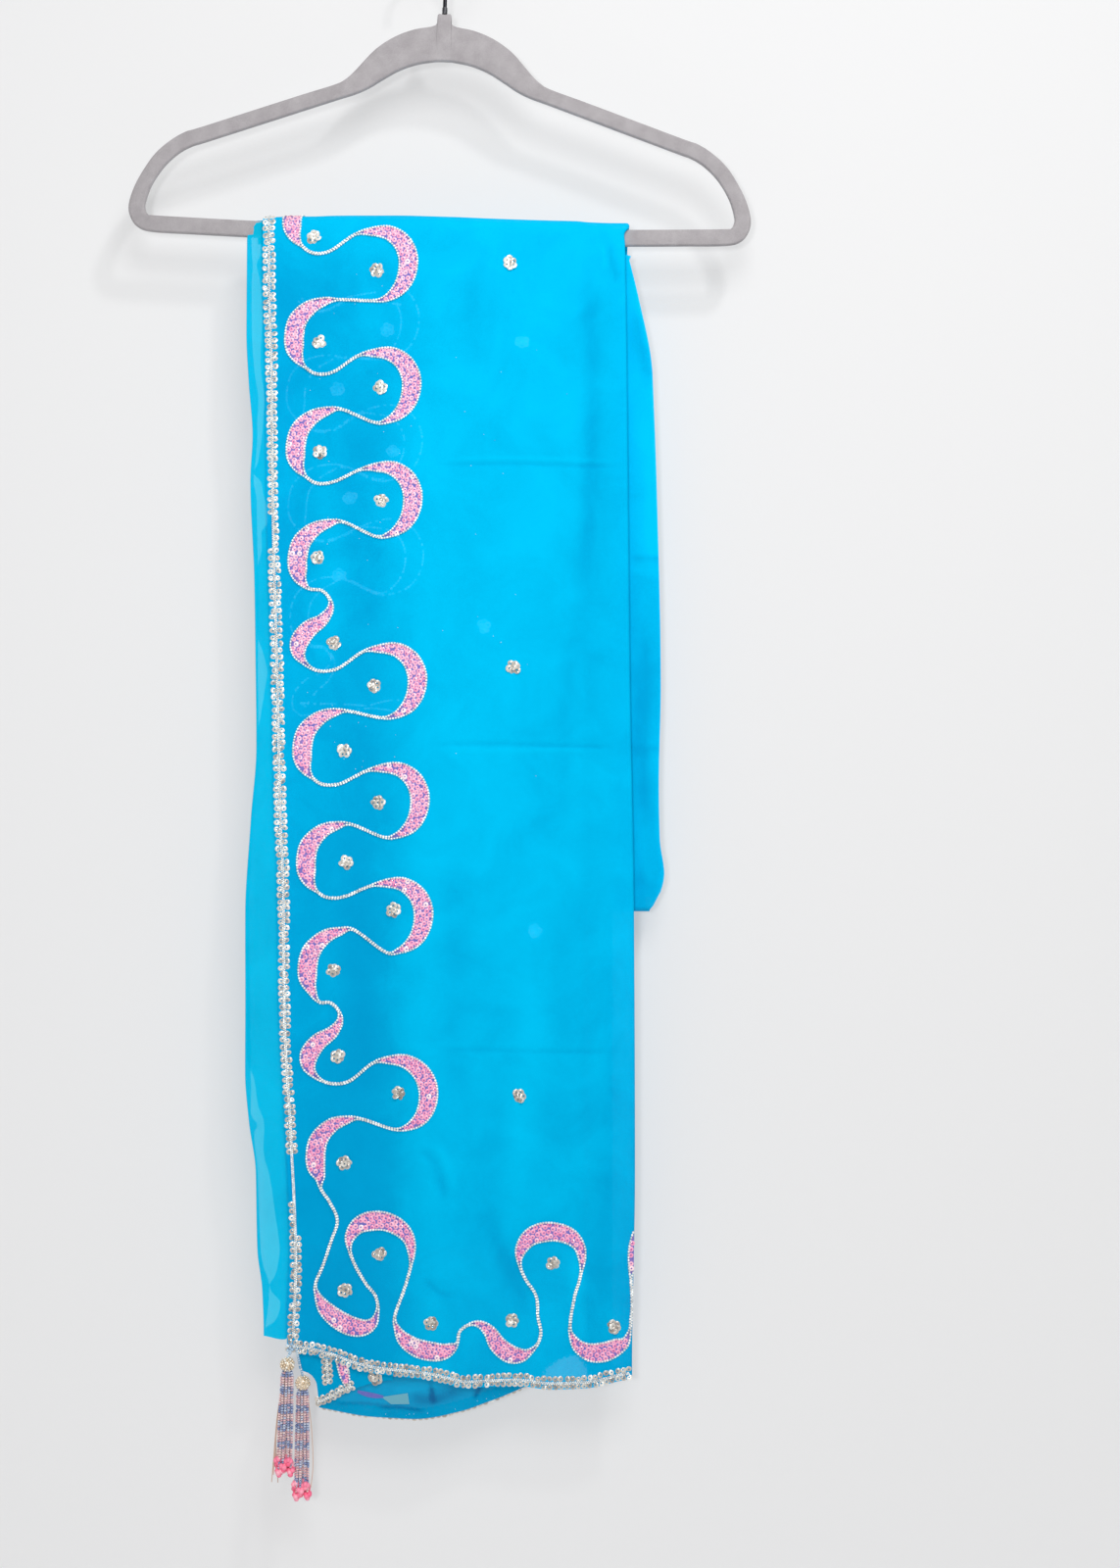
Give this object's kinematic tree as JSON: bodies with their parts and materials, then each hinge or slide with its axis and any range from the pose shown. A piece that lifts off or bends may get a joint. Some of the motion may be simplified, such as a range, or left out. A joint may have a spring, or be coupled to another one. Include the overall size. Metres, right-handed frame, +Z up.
{
  "type": "chiffon saree on hanger",
  "caption": "Turquoise chiffon saree folded lengthwise over the bar of a slim flocked hanger, its beaded end in front with a scrolling sequin border and corner tassels.",
  "frame": {"origin": "the hook's seat: the top of the inside of the hanger's hook", "axes": "+Z up, +X to the viewer's right when the beaded end faces the viewer, -Y towards the viewer"},
  "size_m": [0.4444, 0.035, 1.1221],
  "materials": {
    "flock": "grey velvet flock on plastic",
    "sleeve": "grey plastic",
    "wire": "dark coated wire",
    "chiffon": "turquoise chiffon in layers",
    "sheer_chiffon": "see-through turquoise chiffon",
    "under_chiffon": "turquoise chiffon, wrong side",
    "silver_trim": "silver sequins and bugle beads",
    "pink_sequins": "pink sequins edged with silver beads",
    "spangles": "silver sequin clusters",
    "tassel_beads": "pearly and coral glass beads"
  },
  "bodies": {
    "root": {"back_border": "silver_trim", "back_bundle": "chiffon", "back_stretch": "chiffon", "hanger_frame": "flock", "hanger_hook": "wire", "hem_border": "silver_trim", "hook_sleeve": "sleeve", "leaf_border": "silver_trim", "left_stretch": "sheer_chiffon", "pallu_front": "chiffon", "pallu_under": "under_chiffon", "side_border": "silver_trim", "spangle_01": "spangles", "spangle_02": "spangles", "spangle_03": "spangles", "spangle_04": "spangles", "spangle_05": "spangles", "spangle_06": "spangles", "spangle_07": "spangles", "spangle_08": "spangles", "spangle_09": "spangles", "spangle_10": "spangles", "spangle_11": "spangles", "spangle_12": "spangles", "spangle_13": "spangles", "spangle_14": "spangles", "spangle_15": "spangles", "spangle_16": "spangles", "spangle_17": "spangles", "spangle_18": "spangles", "spangle_19": "spangles", "spangle_20": "spangles", "spangle_21": "spangles", "spangle_22": "spangles", "spangle_23": "spangles", "spangle_24": "spangles", "spangle_25": "spangles", "spangle_26": "spangles", "spangle_27": "spangles", "spangle_28": "spangles", "spangle_29": "spangles", "spangle_30": "spangles", "spangle_31": "spangles", "spangle_32": "spangles", "spangle_33": "spangles", "spangle_34": "spangles", "spangle_35": "spangles", "spangle_36": "spangles", "spangle_37": "spangles", "tassel_1": "tassel_beads", "tassel_2": "tassel_beads", "under_border": "silver_trim", "under_leaf": "under_chiffon", "vine_back": "pink_sequins", "vine_front": "pink_sequins"}
  },
  "joints": []
}
